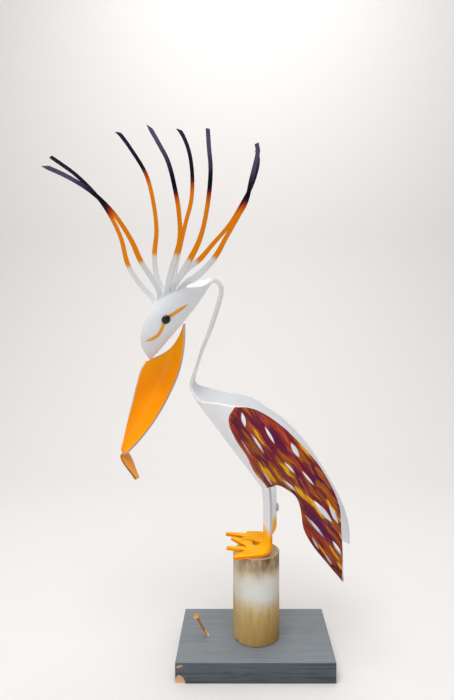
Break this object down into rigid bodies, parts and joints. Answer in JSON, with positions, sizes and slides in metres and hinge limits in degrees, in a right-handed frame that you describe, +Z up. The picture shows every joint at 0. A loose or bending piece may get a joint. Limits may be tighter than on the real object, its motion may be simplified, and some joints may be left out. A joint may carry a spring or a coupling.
{
  "type": "pelican yard statue",
  "caption": "Pelican yard statue cut and heat-bent from white plastic pipe and painted, standing on a round wooden post on a grey board.",
  "frame": {"origin": "centre of the board's underside, on the ground", "axes": "+Z up, +X toward the bird's tail, -X the way the bill points, +Y toward the bird's far side"},
  "size_m": [0.6345, 0.184, 1.0626],
  "materials": {
    "painted_pipe": "white pipe with hand-brushed maroon, orange, gold and purple paint",
    "bill_paint": "orange paint on white pipe",
    "eye_black": "glossy black",
    "post_wood": "weathered bare wood with white overspray",
    "board_paint": "worn grey paint over wood",
    "zinc_screw": "yellow zinc plate"
  },
  "bodies": {
    "root": {"base_board": "board_paint", "post": "post_wood", "board_screw": "zinc_screw", "pelican": "painted_pipe", "beak": "bill_paint", "eye_near": "eye_black", "eye_far": "eye_black"}
  },
  "joints": []
}
